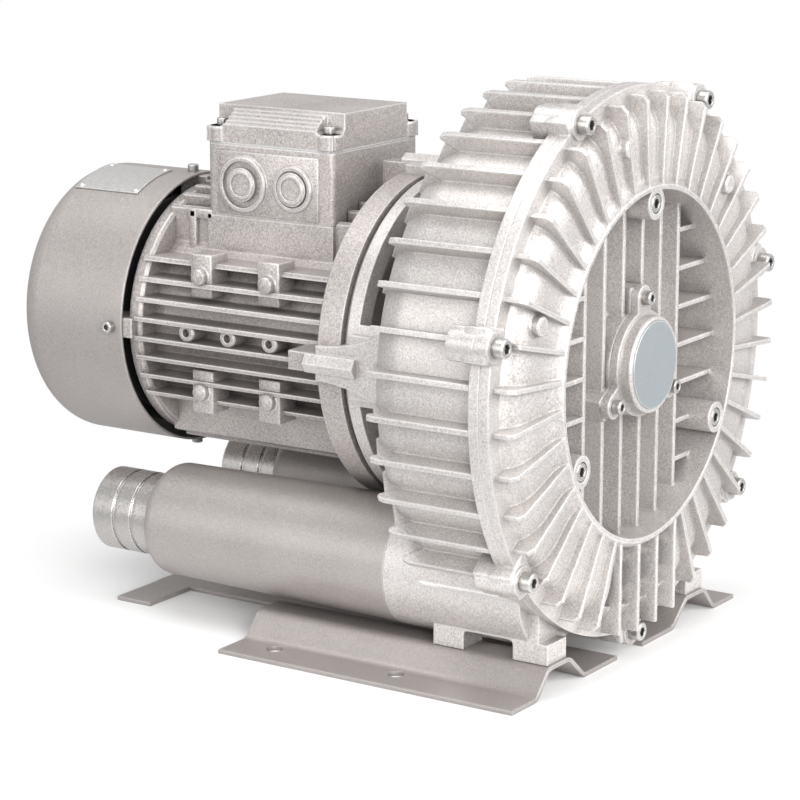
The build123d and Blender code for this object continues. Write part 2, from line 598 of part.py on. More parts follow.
# ---------------------------------------------------------------- motor flange, frame and rear shield
TIE_BAR = 13.0
TIE_LUG_END_Y = FRAME_Y + 18
FRAME_R = FRAME_BORE + FRAME_WALL
with BuildPart() as motor_flange:
    add(turned(
        (SHAFT_R + 3, FRAME_Y - 8), (FRAME_R - 2, FRAME_Y - 8), (BELL_BORE - 14, BELL_END_Y + 6),
        (BELL_BORE - 14, BELL_END_Y - 5), (BELL_BORE - FIT, BELL_END_Y - 5), (BELL_BORE - FIT, BELL_END_Y),
        (BELL_R, BELL_END_Y), (BELL_R, FRAME_Y - 2), (BELL_R - 2, FRAME_Y), (SHAFT_R + 3, FRAME_Y)).part)
    with BuildSketch(across(BELL_END_Y)):
        for angle in TIE_ANGLES:
            with Locations(Location(polar(BELL_R - 6, angle), angle)):
                Rectangle(20, TIE_BAR)
    extrude(amount=-MOTOR_FLANGE)
    with Locations(*facing_front(BELL_END_Y, TIE_CIRCLE, TIE_ANGLES)):
        Hole(LUG_SCREW / 2 + 0.3, MOTOR_FLANGE + 1)
finish(motor_flange, "motor_flange")

with BuildPart() as motor_frame:
    # cooling fins level on the flanks and upright above and below
    with BuildSketch(across(FRAME_Y)):
        for turn in (0, 90):
            with Locations(Location((0, 0), turn)):
                with GridLocations(0, COOLING_PITCH, 1, 8):
                    Rectangle(2 * COOLING_R, FIN)
        Circle(COOLING_R, mode=Mode.INTERSECT)
        Circle(FRAME_R)
    extrude(amount=-FRAME_LENGTH)
    with BuildSketch(across(FRAME_Y)):
        for angle in TIE_ANGLES:
            with Locations(Location(polar((FRAME_R + BELL_R) / 2, angle), angle)):
                Rectangle(BELL_R + 4 - FRAME_R + 8, TIE_BAR)
    extrude(amount=-(TIE_LUG_END_Y - FRAME_Y))
    with BuildSketch(Plane.XY.offset(SHAFT_Z + BOX_SEAT)):
        with Locations((0, FRAME_Y + 28 + BOX_HALF)):
            Rectangle(2 * BOX_HALF, 2 * BOX_HALF)
    extrude(amount=-28)
    with BuildSketch(Plane.XY.offset(SHAFT_Z + BOX_SEAT)):
        with Locations((0, FRAME_Y + 28 + BOX_HALF)):
            Rectangle(2 * BOX_HALF + 1, 2 * BOX_HALF + 1)
    extrude(amount=COOLING_R, mode=Mode.SUBTRACT)
    with BuildSketch(across(FRAME_Y)):
        Circle(FRAME_BORE)
    extrude(amount=-FRAME_LENGTH, mode=Mode.SUBTRACT)
    with Locations(*facing_front(FRAME_Y, TIE_CIRCLE, TIE_ANGLES)):
        Hole(LUG_SCREW / 2, 14)
finish(motor_frame, "motor_frame")

finish(tube(FRAME_BORE - FIT, ROTOR_R + AIR_GAP, CORE_Y, CORE_Y + CORE_LENGTH), "stator_core")
with BuildPart() as stator_windings:
    for start in (CORE_Y - 22, CORE_Y + CORE_LENGTH):
        with BuildSketch(AXIAL):
            with Locations((ROTOR_R + 12, start + 11)):
                RectangleRounded(18, 22, 6)
        revolve(axis=SHAFT)
finish(stator_windings, "stator_windings")

COWL_SCREW = 5.0
COWL_SCREW_Y = COWL_Y + 10
cowl_screw_planes = [Plane((x * COWL_R, COWL_SCREW_Y, SHAFT_Z + z * COWL_R), z_dir=(x, 0, z))
                     for x, z in ((1, 0), (-1, 0), (0, 1), (0, -1))]
with BuildPart() as rear_shield:
    add(turned(
        (FAN_SEAT_R + 3, REAR_BEARING_END_Y + 2), (FAN_SEAT_R + 3, REAR_BEARING_END_Y + 6),
        (BEARING_R + CASTING + 3, REAR_BEARING_END_Y + 6), (BEARING_R + CASTING + 6, FRAME_END_Y + SHIELD / 2),
        (FRAME_R + 6, FRAME_END_Y + SHIELD / 2), (FRAME_R + 6, FRAME_END_Y), (FRAME_BORE - FIT, FRAME_END_Y),
        (FRAME_BORE - FIT, FRAME_END_Y - 5), (FRAME_BORE - 8, FRAME_END_Y - 5),
        (FRAME_BORE - 8, FRAME_END_Y), (BEARING_R + CASTING, FRAME_END_Y), (BEARING_R + CASTING, REAR_BEARING_Y - 2),
        (BEARING_R + FIT, REAR_BEARING_Y - 2), (BEARING_R + FIT, REAR_BEARING_END_Y + 2)).part)
    with BuildSketch(across(FRAME_END_Y)):
        for angle in TIE_ANGLES:
            with Locations(Location(polar((FRAME_R + COWL_R) / 2, angle), angle)):
                Rectangle(COWL_R - FRAME_R, 14)
        Circle(COWL_R - COWL_SHEET - FIT, mode=Mode.INTERSECT)
    extrude(amount=-(COWL_SCREW_Y + 6 - FRAME_END_Y))
    with Locations(*cowl_screw_planes):
        Hole(COWL_SCREW / 2, 12)
finish(rear_shield, "rear_shield")
finish(tube(BEARING_R - 1, BEARING_R - 4.5, REAR_BEARING_END_Y, REAR_BEARING_END_Y + 2), "preload_washer")

# ---------------------------------------------------------------- fan and cowl
with BuildPart() as cooling_fan:
    add(turned((FAN_SEAT_R + FIT, FAN_Y), (FAN_R - 6, FAN_Y), (FAN_R - 6, FAN_Y + 3), (FAN_SEAT_R + 10, FAN_Y + 3),
               (FAN_SEAT_R + 8, FAN_Y + FAN_LENGTH), (FAN_SEAT_R + FIT, FAN_Y + FAN_LENGTH)).part)
    vane = radial_plate(2.5, (FAN_SEAT_R + 6, FAN_Y + 1), (FAN_R, FAN_Y + 1), (FAN_R, FAN_Y + FAN_LENGTH - 8),
                        (FAN_SEAT_R + 30, FAN_Y + FAN_LENGTH - 2), (FAN_SEAT_R + 6, FAN_Y + FAN_LENGTH - 2))
    add(around(vane, [360 / FAN_BLADES * k for k in range(FAN_BLADES)]))
finish(cooling_fan, "cooling_fan")

COWL_DOME = 20.0
with BuildPart() as fan_cowl:
    with BuildSketch(AXIAL):
        with BuildLine() as shell_line:
            Line((COWL_R, COWL_Y), (COWL_R, COWL_END_Y - COWL_DOME))
            RadiusArc((COWL_R, COWL_END_Y - COWL_DOME), (COWL_R - COWL_DOME, COWL_END_Y), -COWL_DOME)
            Polyline((COWL_R - COWL_DOME, COWL_END_Y), (0, COWL_END_Y), (0, COWL_END_Y - COWL_SHEET),
                     (COWL_R - COWL_DOME, COWL_END_Y - COWL_SHEET))
            RadiusArc((COWL_R - COWL_DOME, COWL_END_Y - COWL_SHEET),
                      (COWL_R - COWL_SHEET, COWL_END_Y - COWL_DOME), COWL_DOME - COWL_SHEET)
            Polyline((COWL_R - COWL_SHEET, COWL_END_Y - COWL_DOME), (COWL_R - COWL_SHEET, COWL_Y),
                     (COWL_R, COWL_Y))
        make_face()
    revolve(axis=SHAFT)
    with BuildSketch(across(COWL_END_Y - COWL_SHEET - 1)):
        for radius, slots in ((30, 8), (48, 12), (66, 16)):
            with PolarLocations(radius, slots):
                SlotOverall(12, 5, rotation=90)
    extrude(amount=-(COWL_SHEET + 2), mode=Mode.SUBTRACT)
    with Locations(*cowl_screw_planes):
        Hole(COWL_SCREW / 2 + 0.2, 4)
finish(fan_cowl, "fan_cowl")

# ---------------------------------------------------------------- terminal box
BOX_Y = FRAME_Y + 28 + BOX_HALF
BOX_TOP = BOX_SEAT + BOX_HEIGHT
PLUG_R = 12.0
PLUG_PITCH = 43.0
BOX_SCREW = 5.0
BOX_CORNER = BOX_HALF - 8


def level(height):
    """Level plane above the terminal box seat, centred on the box."""
    return Plane.XY.offset(SHAFT_Z + height).shift_origin((0, BOX_Y, SHAFT_Z + height))


def box_screws(height):
    """Screw planes in the four box corners, heads up."""
    base = level(height)
    return [Plane(base.from_local_coords((x, y, 0))) for x in (-BOX_CORNER, BOX_CORNER)
            for y in (-BOX_CORNER, BOX_CORNER)]


entry_face = Plane((-BOX_HALF, BOX_Y, SHAFT_Z + BOX_SEAT + 24), x_dir=(0, -1, 0), z_dir=(-1, 0, 0))
with BuildPart() as terminal_box:
    with BuildSketch(level(BOX_SEAT)):
        RectangleRounded(2 * BOX_HALF, 2 * BOX_HALF, 5)
    extrude(amount=BOX_HEIGHT)
    with BuildSketch(level(BOX_TOP)):
        Rectangle(2 * (BOX_HALF - BOX_WALL), 2 * (BOX_HALF - BOX_WALL))
        with GridLocations(2 * BOX_CORNER, 2 * BOX_CORNER, 2, 2):
            Rectangle(18, 18, mode=Mode.SUBTRACT)
    extrude(amount=-(BOX_HEIGHT - BOX_WALL), mode=Mode.SUBTRACT)
    with Locations(*box_screws(BOX_TOP)):
        Hole(BOX_SCREW / 2, 16)
    with BuildSketch(entry_face):
        with GridLocations(PLUG_PITCH, 0, 2, 1):
            Circle(PLUG_R + 5)
    extrude(amount=1.5)
    with BuildSketch(entry_face.offset(1.5)):
        with GridLocations(PLUG_PITCH, 0, 2, 1):
            Circle(PLUG_R - 2)
    extrude(amount=-(BOX_WALL + 3), mode=Mode.SUBTRACT)
finish(terminal_box, "terminal_box")

with BuildPart() as entry_plugs:
    with BuildSketch(entry_face.offset(1.5)):
        with GridLocations(PLUG_PITCH, 0, 2, 1):
            Circle(PLUG_R)
    extrude(amount=3)
    with BuildSketch(entry_face.offset(1.5)):
        with GridLocations(PLUG_PITCH, 0, 2, 1):
            Circle(PLUG_R - 2)
    extrude(amount=-(BOX_WALL + 1.5))
finish(entry_plugs, "entry_plugs")

with BuildPart() as box_gasket:
    with BuildSketch(level(BOX_TOP)):
        RectangleRounded(2 * BOX_HALF, 2 * BOX_HALF, 5)
        Rectangle(2 * (BOX_HALF - BOX_WALL), 2 * (BOX_HALF - BOX_WALL), mode=Mode.SUBTRACT)
        with GridLocations(2 * BOX_CORNER, 2 * BOX_CORNER, 2, 2):
            Rectangle(18, 18)
            Circle(BOX_SCREW / 2 + 0.3, mode=Mode.SUBTRACT)
        RectangleRounded(2 * BOX_HALF, 2 * BOX_HALF, 5, mode=Mode.INTERSECT)
    extrude(amount=GASKET)
finish(box_gasket, "box_gasket")

with BuildPart() as terminal_lid:
    with BuildSketch(level(BOX_TOP + GASKET)):
        RectangleRounded(2 * BOX_HALF, 2 * BOX_HALF, 5)
    extrude(amount=LID_HEIGHT, taper=3)
    with BuildSketch(level(BOX_TOP + GASKET)):
        Rectangle(2 * (BOX_HALF - BOX_WALL), 2 * (BOX_HALF - BOX_WALL))
        with GridLocations(2 * BOX_CORNER, 2 * BOX_CORNER, 2, 2):
            Rectangle(18, 18, mode=Mode.SUBTRACT)
    extrude(amount=LID_HEIGHT - BOX_WALL, taper=3, mode=Mode.SUBTRACT)
    with Locations(*box_screws(BOX_TOP + GASKET + LID_HEIGHT)):
        CounterBoreHole(BOX_SCREW / 2 + 0.3, BOX_SCREW, 14, LID_HEIGHT + 1)
finish(terminal_lid, "terminal_lid")
screw_set("lid_screws", socket_screw(BOX_SCREW, 25), box_screws(BOX_TOP + GASKET + LID_HEIGHT - 14))

with BuildPart() as terminal_block:
    with BuildSketch(level(BOX_SEAT + BOX_WALL)):
        RectangleRounded(62, 42, 4)
    extrude(amount=14)
    with BuildSketch(level(BOX_SEAT + BOX_WALL + 14)):
        Rectangle(58, 3)
    extrude(amount=8)
finish(terminal_block, "terminal_block")
with BuildPart() as terminal_studs:
    with BuildSketch(level(BOX_SEAT + BOX_WALL + 14)):
        with GridLocations(20, 20, 3, 2):
            Circle(2.5)
    extrude(amount=14)
    with BuildSketch(level(BOX_SEAT + BOX_WALL + 14)):
        with GridLocations(20, 20, 3, 2):
            RegularPolygon(5, 6)
    extrude(amount=4)
finish(terminal_studs, "terminal_studs")


# ---------------------------------------------------------------- silencers and hose spigots
PORT_PLANES = {"left": -1, "right": 1}


def silencer_plane(side, y):
    """Plane across a silencer's axis at station y, facing the motor end."""
    return Plane((side * SILENCER_X, y, SILENCER_Z), x_dir=(1, 0, 0), z_dir=(0, 1, 0))


for name, side in PORT_PLANES.items():
    front = silencer_plane(side, SILENCER_Y)
    rear = silencer_plane(side, SILENCER_END_Y)
    with BuildPart() as silencer:
        with BuildSketch(front):
            Circle(SILENCER_FRONT_R)
        with BuildSketch(rear):
            Circle(SILENCER_REAR_R)
        loft()
        fillet(silencer.edges().filter_by(GeomType.CIRCLE).group_by(Axis.Y)[-1], 10)
        with BuildSketch(front):
            Circle(SILENCER_FRONT_R - SILENCER_WALL)
        with BuildSketch(silencer_plane(side, SILENCER_END_Y - 6)):
            Circle(SILENCER_REAR_R - SILENCER_WALL)
        loft(mode=Mode.SUBTRACT)
        with BuildSketch(rear):
            Circle(HOSE_R - SPIGOT_SHOULDER + FIT)
        extrude(amount=-7, mode=Mode.SUBTRACT)
    finish(silencer, f"{name}_silencer")
    with BuildPart() as liner:
        with BuildSketch(silencer_plane(side, SILENCER_Y + 1)):
            Circle(SILENCER_REAR_R - SILENCER_WALL - 0.3)
            Circle(DUCT_R + 2.3, mode=Mode.SUBTRACT)
        extrude(amount=SILENCER_LENGTH - 10)
    finish(liner, f"{name}_foam_liner")
    with BuildPart() as core:
        with BuildSketch(silencer_plane(side, SILENCER_Y)):
            Circle(DUCT_R + 2)
            Circle(DUCT_R, mode=Mode.SUBTRACT)
        extrude(amount=SILENCER_LENGTH - 8)
    finish(core, f"{name}_perforated_core")
    with BuildPart() as spigot:
        with BuildSketch(rear):
            Circle(HOSE_R)
        extrude(amount=HOSE_LENGTH)
        chamfer(spigot.edges().group_by(Axis.Y)[-1], 1.5)
        with BuildSketch(rear):
            Circle(HOSE_R - SPIGOT_SHOULDER)
        extrude(amount=-6)
        for distance in (14, 30):
            with BuildSketch(silencer_plane(side, SILENCER_END_Y + distance)):
                Circle(HOSE_R + 1)
                Circle(HOSE_R - 1, mode=Mode.SUBTRACT)
            extrude(amount=3, mode=Mode.SUBTRACT)
        with BuildSketch(silencer_plane(side, SILENCER_END_Y - 7)):
            Circle(DUCT_R)
        extrude(amount=HOSE_LENGTH + 8, mode=Mode.SUBTRACT)
    finish(spigot, f"{name}_hose_spigot")

# ---------------------------------------------------------------- feet
FOOT_FRONT_Y = -154.0
FOOT_REAR_Y = 82.0
STRIP_END_Y = 220.0
FOOT_OUTER_X = 157.0
FOOT_INNER_X = 18.0
for name, side in PORT_PLANES.items():
    with BuildPart() as foot:
        with BuildSketch(Plane((0, FOOT_FRONT_Y, 0), x_dir=(side, 0, 0), z_dir=(0, -side, 0))) as section:
            with BuildLine():
                FilletPolyline((FOOT_OUTER_X, SHEET / 2), (CREST_X + 28, SHEET / 2), (CREST_X + 13, CREST_Z - SHEET / 2),
                               (CREST_X - 14, CREST_Z - SHEET / 2), (CREST_X - 34, SHEET / 2),
                               (FOOT_INNER_X, SHEET / 2), radius=10)
            trace(line_width=SHEET)
        extrude(amount=-side * (FOOT_REAR_Y - FOOT_FRONT_Y))
        with BuildSketch():
            with Locations((side * (FOOT_INNER_X + 15), (FOOT_REAR_Y + STRIP_END_Y) / 2)):
                Rectangle(30, STRIP_END_Y - FOOT_REAR_Y + 2)
            with Locations((side * (FOOT_INNER_X + 39), STRIP_END_Y - 15)):
                Rectangle(78, 30)
        extrude(amount=SHEET)
        with BuildSketch(Plane.XY.offset(SHEET)):
            with Locations((side * FOOT_HOLE_X, -FOOT_HOLE_Y), (side * FOOT_HOLE_X, FOOT_HOLE_Y)):
                Circle(FOOT_HOLE_R)
        extrude(amount=-SHEET, mode=Mode.SUBTRACT)
        with BuildSketch(Plane.XY.offset(CREST_Z + 1)):
            with Locations(*[(side * CREST_X, y) for y in LEG_Y]):
                Circle(LUG_SCREW / 2 + 0.4)
        extrude(amount=-SHEET - 2, mode=Mode.SUBTRACT)
    finish(foot, f"{name}_foot")

screw_set("foot_bolts", hex_screw(LUG_SCREW, 14),
          [Plane((side * CREST_X, y, CREST_Z - SHEET), z_dir=(0, 0, -1)) for side in (-1, 1) for y in LEG_Y])

screw_set("tie_bolts", socket_screw(LUG_SCREW, 45), facing_front(TIE_SEAT_Y, TIE_CIRCLE, TIE_ANGLES))
screw_set("cowl_screws", socket_screw(COWL_SCREW, 9), cowl_screw_planes)
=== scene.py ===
# %% [markdown]
# A side channel blower, dressed in Blender around its engineering model.
# The engineering model already holds every casting, screw and bearing at its real size.
# This script gives each piece its finish, adds the small details that belong to the surface,
# and sets up a camera, soft lamps and a pale floor.

import json
import math

import bmesh
import bpy
from mathutils import Matrix, Vector


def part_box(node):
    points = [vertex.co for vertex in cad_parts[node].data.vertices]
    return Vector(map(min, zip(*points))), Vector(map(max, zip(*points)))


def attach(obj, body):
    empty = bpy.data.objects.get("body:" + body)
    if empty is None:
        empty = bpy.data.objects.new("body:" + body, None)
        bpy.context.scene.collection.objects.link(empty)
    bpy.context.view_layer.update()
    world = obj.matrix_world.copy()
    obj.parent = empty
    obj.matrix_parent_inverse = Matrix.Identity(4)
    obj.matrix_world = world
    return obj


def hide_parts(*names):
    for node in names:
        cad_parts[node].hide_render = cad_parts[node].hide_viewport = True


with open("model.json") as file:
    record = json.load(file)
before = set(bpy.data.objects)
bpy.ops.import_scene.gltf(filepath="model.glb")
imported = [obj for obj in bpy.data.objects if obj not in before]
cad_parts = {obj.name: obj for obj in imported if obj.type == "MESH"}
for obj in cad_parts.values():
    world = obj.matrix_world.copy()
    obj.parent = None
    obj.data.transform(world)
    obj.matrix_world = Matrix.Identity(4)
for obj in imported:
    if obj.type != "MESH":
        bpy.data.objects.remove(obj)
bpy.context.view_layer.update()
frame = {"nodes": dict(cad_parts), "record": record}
NODES = frame["nodes"]
print("pieces in the frame:", len(NODES))

# %% [markdown]
# The camera stands low and to the left of the casing cover. It is far away with a long lens, so that
# the round casing keeps its shape. Its place is written as an azimuth and an elevation around the
# blower, because those two angles are what a person would change.

# %% Camera
VIEW_AZIMUTH = math.radians(-56.68)
VIEW_ELEVATION = math.radians(12.83)
VIEW_ROLL = math.radians(0.06)
CAMERA_PLACE = Vector((-1.6443, -1.0451, 0.6032))
LENS_MM = 127.37
SENSOR_MM = 36.0

towards_camera = Vector((
    math.sin(VIEW_AZIMUTH) * math.cos(VIEW_ELEVATION),
    -math.cos(VIEW_AZIMUTH) * math.cos(VIEW_ELEVATION),
    math.sin(VIEW_ELEVATION),
))
camera_right = Vector((math.cos(VIEW_AZIMUTH), math.sin(VIEW_AZIMUTH), 0.0))
camera_up = towards_camera.cross(camera_right)
camera_data = bpy.data.cameras.new("camera")
camera_data.lens = LENS_MM
camera_data.sensor_width = SENSOR_MM
camera_data.clip_end = 20.0
camera = bpy.data.objects.new("camera", camera_data)
bpy.context.scene.collection.objects.link(camera)
axes = Matrix((camera_right, camera_up, towards_camera)).transposed()
rolled = axes @ Matrix.Rotation(VIEW_ROLL, 3, "Z")
camera.matrix_world = Matrix.Translation(CAMERA_PLACE) @ rolled.to_4x4()
bpy.context.scene.camera = camera
bpy.context.scene.view_settings.view_transform = "Standard"
print("camera lens in mm:", LENS_MM, "distance in m:", round(CAMERA_PLACE.length, 3))

# %% [markdown]
# A silver casting shows its form by what it reflects, so the lamps differ in strength: a broad one over
# the cover side, a narrower one low at the left, and one above. The camera sees a pure white
# background, but the light that the world gives the blower is weaker and leaves its shadows deep.
# Light Path tells the two kinds of ray apart.

# %% World and lamps
WORLD_FILL = 0.56
MIDDLE = (0.0, 0.05, 0.2)


def studio_world(fill):
    """White where the camera looks, a weaker grey for everything else."""
    world = bpy.data.worlds.new("studio")
    bpy.context.scene.world = world
    world.use_nodes = True
    tree = world.node_tree
    tree.nodes.clear()
    light_path = tree.nodes.new("ShaderNodeLightPath")
    seen = tree.nodes.new("ShaderNodeMath")
    seen.operation = "MAXIMUM"
    tree.links.new(light_path.outputs["Is Camera Ray"], seen.inputs[0])
    tree.links.new(light_path.outputs["Is Transmission Ray"], seen.inputs[1])
    strength = tree.nodes.new("ShaderNodeMapRange")
    strength.inputs["To Min"].default_value = fill
    strength.inputs["To Max"].default_value = 1.0
    tree.links.new(seen.outputs[0], strength.inputs["Value"])
    background = tree.nodes.new("ShaderNodeBackground")
    background.inputs["Color"].default_value = (1, 1, 1, 1)
    tree.links.new(strength.outputs["Result"], background.inputs["Strength"])
    out = tree.nodes.new("ShaderNodeOutputWorld")
    tree.links.new(background.outputs[0], out.inputs["Surface"])


def area_lamp(name, place, size, watts):
    """A rectangular lamp that faces the middle of the blower."""
    data = bpy.data.lights.new(name, "AREA")
    data.shape = "RECTANGLE"
    data.size, data.size_y = size
    data.energy = watts
    lamp = bpy.data.objects.new(name, data)
    bpy.context.scene.collection.objects.link(lamp)
    direction = Vector(place) - Vector(MIDDLE)
    facing = direction.to_track_quat("Z", "Y").to_matrix()
    lamp.matrix_world = Matrix.Translation(place) @ facing.to_4x4()


studio_world(WORLD_FILL)
area_lamp("left_lamp", (-1.35, -1.45, 0.75), (1.0, 1.0), 30.0)
area_lamp("cover_lamp", (0.5, -1.9, 0.9), (1.2, 1.2), 28.0)
area_lamp("far_left_lamp", (-1.9, 0.7, 0.7), (1.2, 1.2), 10.0)
area_lamp("top_lamp", (-0.3, 0.3, 2.1), (1.4, 1.4), 21.0)

# %% [markdown]
# The floor only has to catch the shadow. It is lit to near white close to the feet and fades to nothing
# further out, so no edge or horizon shows behind the blower.

# %% Floor
FLOOR_SIZE = 4.0
FADE_FROM, FADE_TO = 0.10, 0.60


def fading_floor(size):
    """A white sheet under the feet that turns transparent away from them."""
    mesh = bpy.data.meshes.new("floor")
    half = size / 2
    corners = [(-half, -half, 0), (half, -half, 0), (half, half, 0), (-half, half, 0)]
    mesh.from_pydata(corners, [], [(0, 1, 2, 3)])
    floor = bpy.data.objects.new("floor", mesh)
    bpy.context.scene.collection.objects.link(floor)
    material = bpy.data.materials.new("floor_white")
    material.use_nodes = True
    tree = material.node_tree
    shader = tree.nodes["Principled BSDF"]
    shader.inputs["Base Color"].default_value = (0.95, 0.95, 0.95, 1)
    shader.inputs["Roughness"].default_value = 0.9
    shader.inputs["Specular IOR Level"].default_value = 0.1
    place = tree.nodes.new("ShaderNodeTexCoord")
    distance = tree.nodes.new("ShaderNodeVectorMath")
    distance.operation = "LENGTH"
    tree.links.new(place.outputs["Object"], distance.inputs[0])
    fade = tree.nodes.new("ShaderNodeMapRange")
    fade.interpolation_type = "SMOOTHSTEP"
    fade.inputs["From Min"].default_value = FADE_FROM
    fade.inputs["From Max"].default_value = FADE_TO
    tree.links.new(distance.outputs["Value"], fade.inputs["Value"])
    clear = tree.nodes.new("ShaderNodeBsdfTransparent")
    mix = tree.nodes.new("ShaderNodeMixShader")
    tree.links.new(fade.outputs["Result"], mix.inputs["Fac"])
    tree.links.new(shader.outputs[0], mix.inputs[1])
    tree.links.new(clear.outputs[0], mix.inputs[2])
    tree.links.new(mix.outputs[0], tree.nodes["Material Output"].inputs["Surface"])
    mesh.materials.append(material)


fading_floor(FLOOR_SIZE)
print("floor fades out between", FADE_FROM, "and", FADE_TO, "m from the middle")

# %% [markdown]
# Almost everything that shows is a casting sprayed with silver paint. Up close the paint sits on a
# sand-cast skin: a fine grain and small patches that are a little lighter or darker. Noise at three
# scales gives the grain, read from Object coordinates so that it has a real size in metres. The Bevel
# node rounds the edges for the light and, set against the true normal, also finds them, so that they
# can be made paler: partly rubbed paint, partly a painted highlight. Ambient Occlusion finds the
# corners, which are darkened with painted shade.

# %% Silver paint and the other finishes
EDGE_ROUNDING = 0.0018
CORNER_REACH = 0.014
FINE_SAND, COARSE_SAND, PATCHES = (950.0, 2.0), (420.0, 2.0), (16.0, 3.0)   # noise scale and detail
COARSE_SHARE, PATCH_SHARE = 0.25, 0.2
DARKEST_AT, PALEST_AT = 0.36, 0.62
SHARP_EDGE, SOFT_EDGE = 0.995, 0.93     # rounded against true normal, where an edge starts and is full
# colour of the pale edges: partly rubbed paint, partly a painted highlight
RUBBED_EDGE_HIGHLIGHT = (0.97, 0.96, 0.95)
# colour of the painted shade in corners and hollows
CORNER_SHADE = (0.16, 0.145, 0.14)
BUMP_STRENGTH, BUMP_HEIGHT = 0.35, 0.0006


def noise(tree, place, scale, detail):
    """Noise whose features are about one over the scale, in metres."""
    node = tree.nodes.new("ShaderNodeTexNoise")
    node.inputs["Scale"].default_value = scale
    node.inputs["Detail"].default_value = detail
    tree.links.new(place.outputs["Object"], node.inputs["Vector"])
    return node.outputs["Fac"]


def blend_values(tree, share, first, second):
    """Mix of two grey values."""
    node = tree.nodes.new("ShaderNodeMix")
    node.inputs["Factor"].default_value = share
    tree.links.new(first, node.inputs["A"])
    tree.links.new(second, node.inputs["B"])
    return node.outputs["Result"]


def tint(tree, how, factor, colour, other):
    """Mix a colour with a fixed one, where the factor says."""
    node = tree.nodes.new("ShaderNodeMix")
    node.data_type = "RGBA"
    node.blend_type = how
    tree.links.new(factor, node.inputs["Factor"])
    tree.links.new(colour, node.inputs["A"])
    node.inputs["B"].default_value = (*other, 1)
    return node.outputs["Result"]


def remap(tree, value, start, end, low, high):
    """Stretch a range of values onto another."""
    node = tree.nodes.new("ShaderNodeMapRange")
    node.inputs["From Min"].default_value = start
    node.inputs["From Max"].default_value = end
    node.inputs["To Min"].default_value = low
    node.inputs["To Max"].default_value = high
    tree.links.new(value, node.inputs["Value"])
    return node.outputs["Result"]


def finish_of(name, colour, roughness, metal=0.5, speck=0.2, grain=1.0, edge=0.85, corner=0.5):
    """A painted, cast, turned or moulded surface with grain, pale edges that are partly rubbed paint and
    partly a painted highlight, and painted shade in the corners.
    """
    material = bpy.data.materials.new(name)
    material.use_nodes = True
    tree = material.node_tree
    shader = tree.nodes["Principled BSDF"]
    shader.inputs["Metallic"].default_value = metal
    place = tree.nodes.new("ShaderNodeTexCoord")
    fine, middle, broad = (noise(tree, place, *size) for size in (FINE_SAND, COARSE_SAND, PATCHES))
    sand = blend_values(tree, COARSE_SHARE, fine, middle)
    ramp = tree.nodes.new("ShaderNodeValToRGB")
    ramp.color_ramp.elements[0].position = DARKEST_AT
    ramp.color_ramp.elements[0].color = (*(c * (1 - speck) for c in colour), 1)
    ramp.color_ramp.elements[1].position = PALEST_AT
    ramp.color_ramp.elements[1].color = (*(min(1.0, c * (1 + speck)) for c in colour), 1)
    tree.links.new(blend_values(tree, PATCH_SHARE, sand, broad), ramp.inputs["Fac"])
    rounded = tree.nodes.new("ShaderNodeBevel")
    rounded.samples = 4
    rounded.inputs["Radius"].default_value = EDGE_ROUNDING
    true_shape = tree.nodes.new("ShaderNodeNewGeometry")
    turn = tree.nodes.new("ShaderNodeVectorMath")
    turn.operation = "DOT_PRODUCT"
    tree.links.new(rounded.outputs[0], turn.inputs[0])
    tree.links.new(true_shape.outputs["Normal"], turn.inputs[1])
    corners = tree.nodes.new("ShaderNodeAmbientOcclusion")
    corners.samples = 4
    corners.inputs["Distance"].default_value = CORNER_REACH
    open_space = remap(tree, corners.outputs["AO"], 0.35, 0.85, 0.0, 1.0)
    # Pale edges where the corners are open: partly rubbed paint, partly a painted highlight.
    on_edge = tree.nodes.new("ShaderNodeMath")
    on_edge.operation = "MULTIPLY"
    edge_share = remap(tree, turn.outputs["Value"], SHARP_EDGE, SOFT_EDGE, 0.0, edge)
    tree.links.new(edge_share, on_edge.inputs[0])
    tree.links.new(open_space, on_edge.inputs[1])
    worn_and_highlit = tint(tree, "MIX", on_edge.outputs[0], ramp.outputs["Color"], RUBBED_EDGE_HIGHLIGHT)
    # Painted shade: the colour is darkened where Ambient Occlusion finds corners and hollows, as far as the
    # corner share says.
    in_corner = remap(tree, corners.outputs["AO"], 0.2, 0.9, corner, 0.0)
    corner_shaded = tint(tree, "MULTIPLY", in_corner, worn_and_highlit, CORNER_SHADE)
    tree.links.new(corner_shaded, shader.inputs["Base Color"])
    uneven_gloss = remap(tree, middle, 0.3, 0.7, roughness - 0.07, roughness + 0.1)
    tree.links.new(uneven_gloss, shader.inputs["Roughness"])
    bump = tree.nodes.new("ShaderNodeBump")
    bump.inputs["Strength"].default_value = BUMP_STRENGTH * grain
    bump.inputs["Distance"].default_value = BUMP_HEIGHT
    tree.links.new(sand, bump.inputs["Height"])
    tree.links.new(rounded.outputs[0], bump.inputs["Normal"])
    tree.links.new(bump.outputs["Normal"], shader.inputs["Normal"])
    return material


